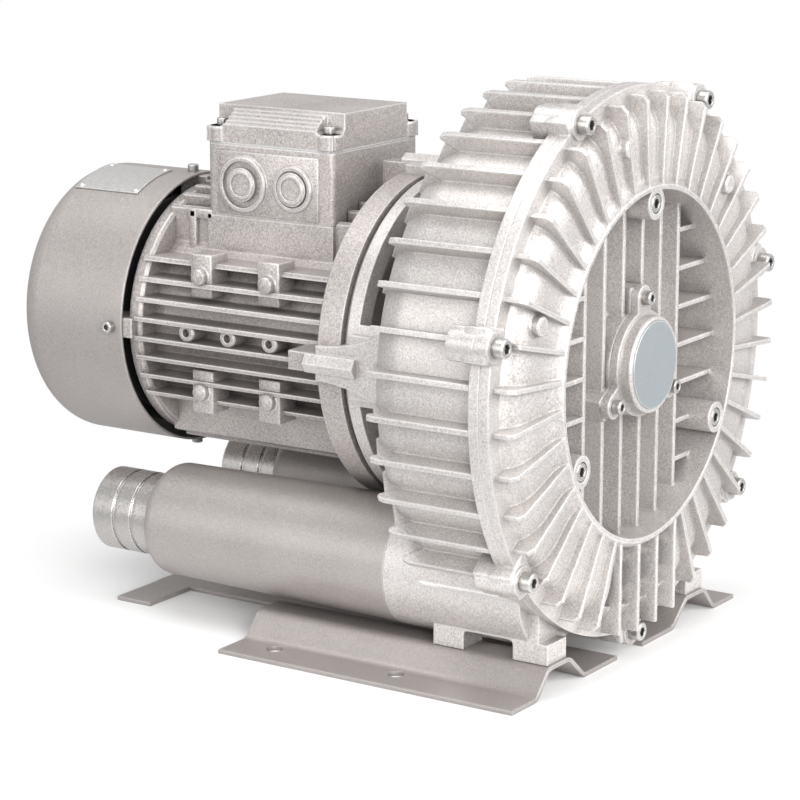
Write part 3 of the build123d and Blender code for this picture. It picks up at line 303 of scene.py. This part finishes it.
CASING = finish_of("casing_silver", (0.62, 0.592, 0.575), 0.40, speck=0.26)
MOTOR = finish_of("motor_silver", (0.48, 0.446, 0.432), 0.42, speck=0.36)
SHEET = finish_of("sheet_silver", (0.44, 0.408, 0.395), 0.42, speck=0.12, grain=0.5, edge=0.4)
SILENCER = finish_of("silencer_silver", (0.42, 0.39, 0.377), 0.42, speck=0.14, grain=0.5, edge=0.4)
TURNED = finish_of("turned_alloy", (0.58, 0.56, 0.545), 0.28, metal=0.9, speck=0.06, grain=0.2)
ZINC = finish_of("zinc_steel", (0.60, 0.59, 0.57), 0.32, metal=0.9, speck=0.08, grain=0.2, corner=0.9)
CAP = finish_of("cap_alloy", (0.42, 0.455, 0.475), 0.38, metal=0.6, speck=0.05, grain=0.15, corner=0.3)
PLATE = finish_of("plate_alloy", (0.66, 0.645, 0.63), 0.34, metal=0.7, speck=0.05, grain=0.15)
SEAL = finish_of("grey_seal", (0.30, 0.29, 0.28), 0.6, metal=0.0, grain=0.3)
DARK = finish_of("dark_parts", (0.035, 0.035, 0.035), 0.6, metal=0.0, grain=0.3, edge=0.1)
SLOT_FINISHES = {
    "cast_casing": CASING, "cast_motor": MOTOR, "cowl_paint": SHEET, "silencer_paint": SILENCER,
    "foot_paint": SHEET, "spigot_metal": TURNED, "screw_steel": ZINC, "bare_steel": ZINC,
    "bearing_steel": ZINC, "impeller_alloy": TURNED, "badge_plate": CAP, "plug_plastic": MOTOR,
    "seal_rubber": SEAL,
}
for part in frame["record"]["subparts"]:
    mesh = NODES[part["node"]].data
    mesh.materials.clear()
    mesh.materials.append(SLOT_FINISHES.get(part["material_slot"], DARK))
print("finishes:", len(bpy.data.materials))

# %% [markdown]
# The castings carry more small forms than the engineering model: square screw blocks, bosses, raised
# panels, stepped edges. Each is drawn with a few small helpers. A block is a box with rounded edges,
# a slab is a flat outline given a thickness, and a turned shape is an outline spun about an axis.

# %% Helpers for small cast forms
SHAFT = 0.205
BODY = "blower_body"
MERGE_WITHIN = 0.00001
CRISP_FROM = math.radians(32)


def block(shape, low, high, rounding=0.0012):
    """Box between two corners, with rounded edges."""
    corners = bmesh.ops.create_cube(shape, size=1.0)["verts"]
    low, high = Vector(low), Vector(high)
    for corner in corners:
        corner.co = Vector(((low[i] + high[i]) / 2 + corner.co[i] * (high[i] - low[i]) for i in range(3)))
    edges = {edge for corner in corners for edge in corner.link_edges}
    bmesh.ops.bevel(shape, geom=list(edges), offset=rounding, segments=2, profile=0.5, affect="EDGES")


def slab(shape, outline, start, end, across_x=False):
    """Solid between two planes across Y from (x, z) points, or across X from (y, z) points."""
    rings = []
    for at in (start, end):
        rings.append([shape.verts.new((at, a, z) if across_x else (a, at, z)) for a, z in outline])
    shape.faces.new(rings[0])
    shape.faces.new(rings[1])
    for k in range(len(outline)):
        shape.faces.new((rings[0][k - 1], rings[0][k], rings[1][k], rings[1][k - 1]))


AXES = {
    "front": Matrix(((1, 0, 0), (0, 0, 1), (0, -1, 0))).transposed(),
    "left": Matrix(((0, 0, 1), (0, 1, 0), (-1, 0, 0))).transposed(),
    "right": Matrix(((0, 1, 0), (0, 0, 1), (1, 0, 0))).transposed(),
    "up": Matrix.Identity(3),
}


def turned(shape, outline, centre, facing, steps=40, degrees=(0.0, 360.0)):
    """Solid of revolution from a closed outline of (radius, distance towards where it faces) points."""
    to_axis = AXES[facing]
    whole = degrees[1] - degrees[0] >= 360.0
    stops = steps if whole else steps + 1
    rings = []
    for k in range(stops):
        turn = math.radians(degrees[0] + (degrees[1] - degrees[0]) * k / steps)
        spoke = [Vector((r * math.cos(turn), r * math.sin(turn), d)) for r, d in outline]
        rings.append([shape.verts.new(Vector(centre) + to_axis @ point) for point in spoke])
    for k in range(steps):
        here, there = rings[k], rings[(k + 1) % stops]
        for i in range(len(outline)):
            shape.faces.new((here[i - 1], here[i], there[i], there[i - 1]))
    if not whole:
        shape.faces.new(rings[0])
        shape.faces.new(rings[-1])


def as_mesh(shape, name, finish):
    """Close a drawn shape and turn it into a mesh with outward faces and crisp edges."""
    bmesh.ops.remove_doubles(shape, verts=shape.verts, dist=MERGE_WITHIN)
    bmesh.ops.dissolve_degenerate(shape, edges=shape.edges, dist=MERGE_WITHIN)
    bmesh.ops.recalc_face_normals(shape, faces=shape.faces)
    mesh = bpy.data.meshes.new(name)
    shape.to_mesh(mesh)
    shape.free()
    stale_normals = mesh.attributes.get("custom_normal")
    if stale_normals:
        mesh.attributes.remove(stale_normals)
    mesh.materials.clear()
    mesh.materials.append(finish)
    mesh.polygons.foreach_set("use_smooth", [True] * len(mesh.polygons))
    mesh.set_sharp_from_angle(angle=CRISP_FROM)
    return mesh


def place_piece(mesh, slot, *stands_for):
    """Put a finished mesh on the blower's body, in place of the nodes that it stands for."""
    piece = bpy.data.objects.new(mesh.name, mesh)
    bpy.context.scene.collection.objects.link(piece)
    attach(piece, BODY)
    if stands_for:
        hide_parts(*stands_for)
    print(mesh.name, "faces:", len(mesh.polygons))


def evaluated(host):
    """Mesh of an object after its modifiers; the object itself is removed."""
    mesh = bpy.data.meshes.new_from_object(host.evaluated_get(bpy.context.evaluated_depsgraph_get()))
    bpy.data.objects.remove(host)
    return mesh


def copy_of(node):
    """Copy of a node's mesh. Its triangles lie loose, so they are joined at their corners first."""
    shape = bmesh.new()
    shape.from_mesh(NODES[node].data)
    bmesh.ops.remove_doubles(shape, verts=shape.verts, dist=MERGE_WITHIN)
    mesh = bpy.data.meshes.new(node + "_copy")
    shape.to_mesh(mesh)
    shape.free()
    return mesh


def cut_away(mesh, cutter_shape):
    """Mesh with a drawn shape cut out of it."""
    cutter = bpy.data.objects.new("cutter", as_mesh(cutter_shape, "cutter", DARK))
    host = bpy.data.objects.new("host", mesh)
    for item in (cutter, host):
        bpy.context.scene.collection.objects.link(item)
    cut = host.modifiers.new("cut", "BOOLEAN")
    cut.operation = "DIFFERENCE"
    cut.solver = "EXACT"
    cut.object = cutter
    mesh = evaluated(host)
    bpy.data.objects.remove(cutter)
    return mesh


print("a turned shape can face:", list(AXES))

# %% [markdown]
# Screw blocks, pads, bosses and rivets all repeat: some in a ring about the shaft, some in a row. One
# Geometry Nodes tree serves both. It makes a number of points, moves each one by a step along a line
# and by a turn about the shaft, and sets a copy of one small piece on each point.

# %% Tree for rings and rows
def copies_tree():
    """Geometry Nodes group that sets copies of a piece in a ring about the shaft or in a row."""
    tree = bpy.data.node_groups.new("ring_or_row", "GeometryNodeTree")
    sockets = (("Piece", "Object"), ("Count", "Int"), ("First turn", "Float"), ("Turn step", "Float"),
               ("Row start", "Vector"), ("Row step", "Vector"), ("Loose turn", "Float"), ("Seed", "Int"),
               ("Finish", "Material"))
    for label, kind in sockets:
        tree.interface.new_socket(label, in_out="INPUT", socket_type="NodeSocket" + kind)
    tree.interface.new_socket("Geometry", in_out="OUTPUT", socket_type="NodeSocketGeometry")
    made = {kind: tree.nodes.new(kind) for kind in (
        "NodeGroupInput", "GeometryNodePoints", "GeometryNodeInputIndex", "GeometryNodeObjectInfo",
        "GeometryNodeInstanceOnPoints", "GeometryNodeRotateInstances", "FunctionNodeRandomValue",
        "GeometryNodeRealizeInstances", "GeometryNodeSetMaterial", "NodeGroupOutput")}
    given = made["NodeGroupInput"].outputs
    index = made["GeometryNodeInputIndex"].outputs[0]
    turn = tree.nodes.new("ShaderNodeMath")
    turn.operation = "MULTIPLY_ADD"
    tree.links.new(index, turn.inputs[0])
    tree.links.new(given["Turn step"], turn.inputs[1])
    tree.links.new(given["First turn"], turn.inputs[2])
    travel = tree.nodes.new("ShaderNodeVectorMath")
    travel.operation = "MULTIPLY_ADD"
    tree.links.new(index, travel.inputs[0])
    tree.links.new(given["Row step"], travel.inputs[1])
    tree.links.new(given["Row start"], travel.inputs[2])
    about = tree.nodes.new("ShaderNodeVectorRotate")
    about.rotation_type = "Y_AXIS"
    about.inputs["Center"].default_value = (0, 0, SHAFT)
    backwards = tree.nodes.new("ShaderNodeMath")
    backwards.operation = "MULTIPLY"
    backwards.inputs[1].default_value = -1.0
    tree.links.new(turn.outputs[0], backwards.inputs[0])
    tree.links.new(travel.outputs[0], about.inputs["Vector"])
    tree.links.new(backwards.outputs[0], about.inputs["Angle"])
    tilt = tree.nodes.new("ShaderNodeCombineXYZ")
    tree.links.new(backwards.outputs[0], tilt.inputs["Y"])
    points = made["GeometryNodePoints"]
    tree.links.new(given["Count"], points.inputs["Count"])
    tree.links.new(about.outputs[0], points.inputs["Position"])
    tree.links.new(given["Piece"], made["GeometryNodeObjectInfo"].inputs["Object"])
    copies = made["GeometryNodeInstanceOnPoints"]
    tree.links.new(points.outputs[0], copies.inputs["Points"])
    tree.links.new(made["GeometryNodeObjectInfo"].outputs["Geometry"], copies.inputs["Instance"])
    tree.links.new(tilt.outputs[0], copies.inputs["Rotation"])
    loose = made["FunctionNodeRandomValue"]
    tree.links.new(given["Loose turn"], loose.inputs[3])
    tree.links.new(given["Seed"], loose.inputs["Seed"])
    spin = tree.nodes.new("ShaderNodeCombineXYZ")
    tree.links.new(loose.outputs[1], spin.inputs["Y"])
    turned_copies = made["GeometryNodeRotateInstances"]
    tree.links.new(copies.outputs[0], turned_copies.inputs["Instances"])
    tree.links.new(spin.outputs[0], turned_copies.inputs["Rotation"])
    real = made["GeometryNodeRealizeInstances"]
    tree.links.new(turned_copies.outputs[0], real.inputs[0])
    painted = made["GeometryNodeSetMaterial"]
    tree.links.new(real.outputs[0], painted.inputs[0])
    tree.links.new(given["Finish"], painted.inputs["Material"])
    tree.links.new(painted.outputs[0], made["NodeGroupOutput"].inputs[0])
    return tree


COPIES = copies_tree()


def repeat(shape, name, finish, count, start, row=(0, 0, 0), first=0.0, step=0.0, loose=0.0, seed=1):
    """Mesh of several copies of a drawn shape, in a ring (degrees) or a row (metres)."""
    single = bpy.data.objects.new("single", as_mesh(shape, "single", finish))
    host = bpy.data.objects.new("host", bpy.data.meshes.new(name))
    for item in (single, host):
        bpy.context.scene.collection.objects.link(item)
    modifier = host.modifiers.new("copies", "NODES")
    modifier.node_group = COPIES
    values = {"Piece": single, "Count": count, "First turn": math.radians(first),
              "Turn step": math.radians(step), "Row start": start, "Row step": row,
              "Loose turn": math.radians(loose), "Seed": seed, "Finish": finish}
    for socket in COPIES.interface.items_tree:
        if socket.in_out == "INPUT":
            modifier[socket.identifier] = values[socket.name]
    mesh = evaluated(host)
    mesh.name = name
    bpy.data.objects.remove(single)
    return mesh


def merged(name, finish, *meshes):
    """One mesh from several."""
    shape = bmesh.new()
    for mesh in meshes:
        shape.from_mesh(mesh)
    return as_mesh(shape, name, finish)


print("inputs of the tree:", len(COPIES.interface.items_tree) - 1)

# %% [markdown]
# The cover is a deep sand casting. Seven screws hold it to the housing, each in a square block, and
# three round pads stand on the channel between the fins. Between the two ports the channel stops: the
# casting is hollow there and four upright fins carry on the lines of the ribs in the recess. The copy
# of the cover has that hollow cut out, then the fins, blocks and pads are merged into it.

# %% Cover casting
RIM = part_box("impeller_cover")[0][1]
PARTING = -0.145
FLANGE = 0.0075
SCREW_CIRCLE = 0.188
SCREWS = 7
LUG_STEP = 360 / SCREWS
RECESS = 0.118
CHANNEL_OUT = 0.164
FLANGE_RADIUS = 0.187
RIB_PITCH = 0.0256
FIN = 0.0032
PADS = 3
PAD_CIRCLE = 0.1535
PAD_FIRST, PAD_STEP = 45.0, 58.0

hollow = bmesh.new()
turned(hollow, ((RECESS + 0.006, -RIM + 0.004), (RECESS + 0.006, -PARTING + FLANGE + 0.002),
                (CHANNEL_OUT, -PARTING + FLANGE + 0.002), (CHANNEL_OUT + 0.006, -RIM + 0.004)),
       (0, 0, SHAFT), "front", steps=24, degrees=(-107.0, -73.0))
fins = bmesh.new()
for k in (-1.5, -0.5, 0.5, 1.5):
    x = k * RIB_PITCH
    high = SHAFT - math.sqrt((RECESS + 0.004) ** 2 - x * x)
    low = SHAFT - math.sqrt((FLANGE_RADIUS - 0.003) ** 2 - x * x)
    block(fins, (x - FIN / 2, RIM + 0.0008, low), (x + FIN / 2, PARTING - FLANGE + 0.001, high), 0.0008)
lug = bmesh.new()
block(lug, (-0.013, -0.0095, -0.012), (0.0083, 0.009, 0.012), 0.0025)
cover_lugs = repeat(lug, "cover_lugs", CASING, SCREWS, (SCREW_CIRCLE, PARTING - FLANGE + 0.0085, SHAFT),
                    first=-90, step=LUG_STEP)
pad = bmesh.new()
turned(pad, ((0, -0.008), (0.0066, -0.008), (0.0066, 0.0095), (0.0056, 0.0105), (0, 0.0105)),
       (0, 0, 0), "front", 24)
pads = repeat(pad, "cover_pads", CASING, PADS, (PAD_CIRCLE, PARTING - FLANGE - 0.004, SHAFT),
              first=PAD_FIRST, step=PAD_STEP)
cover = merged("cover_casting", CASING, cut_away(copy_of("impeller_cover"), hollow),
               as_mesh(fins, "fins", CASING), cover_lugs, pads)
place_piece(cover, "cast_casing", "impeller_cover")

# %% [markdown]
# The housing behind the cover gets its half of each screw block, and fins that reach further back along
# its round wall. Cooling air reaches the shaft seal through four long windows in the bell that joins it
# to the motor. Between the windows stand four webs, flared towards the motor, each with a hexagon head.

# %% Housing casting
BELL_RADIUS = 0.116
FIN_STEP = 9.0
FIN_FIRST, FIN_TOTAL = -90 + 2.5 * FIN_STEP, 36
BODY_RADIUS = 0.174
LEG_X = 0.097
LEG_GAP_Y = (-0.126, -0.086)
WEB_Y = (0.024, -0.045)
windows = bmesh.new()
for middle in (45, 135, 225, 315):
    turned(windows, ((BELL_RADIUS - 0.022, 0.006), (BELL_RADIUS - 0.022, 0.030), (BELL_RADIUS + 0.003, 0.030),
                     (BELL_RADIUS + 0.003, 0.006)), (0, 0, SHAFT), "front", steps=24,
           degrees=(middle - 31, middle + 31))
for side in (-1, 1):
    block(windows, (side * LEG_X - 0.014, LEG_GAP_Y[0], 0.012),
          (side * LEG_X + 0.014, LEG_GAP_Y[1], 0.034), 0.004)
web = bmesh.new()
flare = [(WEB_Y[0] + (WEB_Y[1] - WEB_Y[0]) * k / 8, 0.012 + 0.022 * (k / 8) ** 2) for k in range(9)]
slab(web, flare + [(y, -z) for y, z in reversed(flare)], -0.030, 0.0056, across_x=True)
turned(web, ((0, -0.034), (0.0075, -0.034), (0.0075, 0.0065), (0, 0.0065)), (0.0045, -0.003, 0), "front", 6)
webs = repeat(web, "webs", CASING, 4, (BELL_RADIUS, 0, SHAFT), step=90)
fin = bmesh.new()
slab(fin, ((-0.010, 0.0), (0.0125, 0.0), (0.0125, 0.074), (0.0110, 0.079), (0.0085, 0.0795), (-0.004, 0.064)),
     -FIN / 2 - 0.0003, FIN / 2 + 0.0003)
bmesh.ops.rotate(fin, verts=fin.verts, cent=(0, 0, 0),
                 matrix=Matrix(((1, 0, 0), (0, 0, 1), (0, -1, 0))))
fins = repeat(fin, "housing_fins", CASING, FIN_TOTAL, (BODY_RADIUS, PARTING + FLANGE - 0.001, SHAFT),
              first=FIN_FIRST, step=FIN_STEP)
lug = bmesh.new()
block(lug, (-0.016, -0.011, -0.0115), (0.0078, 0.010, 0.0115), 0.0025)
housing_lugs = repeat(lug, "housing_lugs", CASING, SCREWS, (SCREW_CIRCLE, PARTING + 0.0115, SHAFT),
                      first=-90, step=LUG_STEP)
housing = merged("housing_casting", CASING, cut_away(copy_of("impeller_housing"), windows),
                 housing_lugs, webs, fins)
place_piece(housing, "cast_casing", "impeller_housing")

# %% [markdown]
# The motor frame is one casting with level fins on both flanks. Between the fins stand four square pads
# with a round knob each, left for feet that this build doesn't use, and a row of three round bosses.

# %% Motor frame details
FRAME_Y = 0.028
FLANK = 0.0885
KNOB_Y = (FRAME_Y + 0.060, FRAME_Y + 0.118)
KNOB_Z = 0.0415
BOSS_STEP = 0.036
REAR_RIM_Y = -0.196
frame_details = []
for side, facing in ((-1, "left"), (1, "right")):
    shape = bmesh.new()
    for y in KNOB_Y:
        for level in (-KNOB_Z, KNOB_Z):
            low, high = sorted((side * (FLANK - 0.022), side * (FLANK - 0.0015)))
            block(shape, (low, y - 0.009, SHAFT + level - 0.0155),
                  (high, y + 0.009, SHAFT + level + 0.0155))
    boss = bmesh.new()
    turned(boss, ((0, -0.020), (0.0068, -0.020), (0.0068, 0.0), (0.0058, 0.0012), (0.003, 0.0012),
                  (0.003, -0.004), (0, -0.004)), (0, 0, 0), facing, 24)
    row = repeat(boss, "bosses", MOTOR, 3, (side * (FLANK + 0.004), FRAME_Y + 0.055, SHAFT + 0.001),
                 row=(0, BOSS_STEP, 0))
    knob = bmesh.new()
    turned(knob, ((0, -0.014), (0.0065, -0.014), (0.0065, 0.0), (0.0055, 0.003), (0.003, 0.0047), (0, 0.005)),
           (0, 0, 0), facing, 24)
    frame_details += [as_mesh(shape, "pads", MOTOR), row]
    for level in (-KNOB_Z, KNOB_Z):
        frame_details.append(repeat(
            knob.copy(), "knobs", MOTOR, 2, (side * FLANK, KNOB_Y[0], SHAFT + level),
            row=(0, KNOB_Y[1] - KNOB_Y[0], 0)))
    knob.free()
rim = bmesh.new()
turned(rim, ((0.064, REAR_RIM_Y), (0.091, REAR_RIM_Y), (0.093, REAR_RIM_Y - 0.002),
             (0.093, REAR_RIM_Y - 0.010), (0.064, REAR_RIM_Y - 0.010)), (0, 0, SHAFT), "front", 64)
frame_details.append(as_mesh(rim, "rear_rim", MOTOR))
place_piece(merged("frame_pads", MOTOR, *frame_details), "cast_motor")

# %% [markdown]
# The lid of the terminal box is cast too. It is stepped along both sides, with a round ear for each of
# its four screws. The stepped form is an outline given a length; the corners are then cut down to the
# height of the ears.

# %% Stepped lid
LID_LOW, LID_HIGH = (Vector(corner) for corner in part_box("terminal_lid"))
EAR_TOP = LID_LOW.z + 0.0108
STEPS = 5
STEP_IN, STEP_UP = 0.0030, 0.0024
EAR = 0.0085
EAR_IN = 0.008
NOTCH = 0.015

profile = [(LID_LOW.x, LID_LOW.z), (LID_LOW.x, LID_HIGH.z - STEPS * STEP_UP)]
for k in range(1, STEPS + 1):
    x = LID_LOW.x + k * STEP_IN
    profile += [(x - 0.0009, LID_HIGH.z - (STEPS - k + 1) * STEP_UP), (x, LID_HIGH.z - (STEPS - k) * STEP_UP)]
profile += [(-x, z) for x, z in reversed(profile)]
stepped = bmesh.new()
slab(stepped, profile, LID_LOW.y, LID_HIGH.y)
notches = bmesh.new()
ears = bmesh.new()
for x in (LID_LOW.x, LID_HIGH.x):
    for y in (LID_LOW.y, LID_HIGH.y):
        block(notches, (x - NOTCH, y - NOTCH, EAR_TOP), (x + NOTCH, y + NOTCH, LID_HIGH.z + 0.01), 0.004)
        inwards_y = math.copysign(EAR_IN, y - LID_LOW.y - 0.05)
        middle = Vector((x - math.copysign(EAR_IN, x), y - inwards_y, EAR_TOP))
        turned(ears, ((0.0034, 0.0), (EAR, 0.0), (EAR + 0.001, -0.001), (EAR + 0.001, -0.0105),
                      (0.0034, -0.0105)), middle, "up", 32)
lid_body = cut_away(as_mesh(stepped, "lid_body", MOTOR), notches)
lid = merged("stepped_lid", MOTOR, lid_body, as_mesh(ears, "ears", MOTOR))
place_piece(lid, "cast_motor", "terminal_lid")

# %% [markdown]
# Two cable entries sit in a raised panel on the left of the box, each closed by a plug with rings. A
# small cast bracket stands behind the box. All of it is drawn over the box, which keeps its own shape.

# %% Cable entries and bracket
BOX_LOW, BOX_HIGH = (Vector(corner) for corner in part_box("terminal_box"))
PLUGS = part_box("entry_plugs")
ENTRY_Z = (PLUGS[0][2] + PLUGS[1][2]) / 2
ENTRY_Y = (PLUGS[0][1] + 0.012, PLUGS[1][1] - 0.012)
FRONT_RING, REAR_RING = 0.0130, 0.0165
BRACKET = 0.011
panel = bmesh.new()
for k, y in enumerate(ENTRY_Y):
    ring = REAR_RING if k else FRONT_RING
    turned(panel, ((ring + 0.0035, 0.0), (ring + 0.0035, 0.0028), (ring + 0.0025, 0.0036),
                   (ring, 0.0036), (ring, 0.0)), (LID_LOW.x, y, ENTRY_Z), "left", 40)
    turned(panel, ((0.0078, 0.0), (0.0108, 0.0), (0.0108, 0.0046), (0.0098, 0.0054), (0.0078, 0.0054)),
           (LID_LOW.x, y, ENTRY_Z), "left", 32)
block(panel, (LID_LOW.x - 0.0012, ENTRY_Y[0] - 0.021, ENTRY_Z - 0.022),
      (LID_LOW.x + 0.001, ENTRY_Y[1] + 0.023, ENTRY_Z + 0.023), 0.0011)
block(panel, (LID_LOW.x, BOX_HIGH.y - 0.004, BOX_LOW.z - 0.004),
      (LID_LOW.x + BRACKET, BOX_HIGH.y + 0.020, BOX_LOW.z + 0.003))
block(panel, (LID_LOW.x, BOX_HIGH.y + 0.011, BOX_LOW.z - 0.036),
      (LID_LOW.x + BRACKET, BOX_HIGH.y + 0.017, BOX_LOW.z + 0.002))
place_piece(as_mesh(panel, "entry_rings", MOTOR), "cast_motor")

# %% [markdown]
# A thin plate is riveted to the top of the fan cowl. It follows the cowl's round form, so it is a short
# arc turned about the shaft. It stays blank.

# %% Blank plate on the cowl
COWL = 0.100
PLATE_Y = (0.232, 0.290)
PLATE_TURN = (94.0, 119.0)
plate = bmesh.new()
turned(plate, ((COWL + 0.0001, -PLATE_Y[1]), (COWL + 0.0009, -PLATE_Y[1]),
               (COWL + 0.0009, -PLATE_Y[0]), (COWL + 0.0001, -PLATE_Y[0])),
       (0, 0, SHAFT), "front", steps=12, degrees=PLATE_TURN)
rivet = bmesh.new()
turned(rivet, ((0, -0.0005), (0.0022, -0.0005), (0.0020, 0.0007), (0.001, 0.0012), (0, 0.0013)),
       (0, 0, 0), "right", 16)
rivets = [repeat(rivet.copy(), "rivets", PLATE, 2, (COWL + 0.0008, y, SHAFT), first=PLATE_TURN[0] + 2,
                 step=PLATE_TURN[1] - PLATE_TURN[0] - 4)
          for y in (PLATE_Y[0] + 0.004, PLATE_Y[1] - 0.004)]
rivet.free()
place_piece(merged("blank_plate", PLATE, as_mesh(plate, "plate", PLATE), *rivets), "badge_plate")
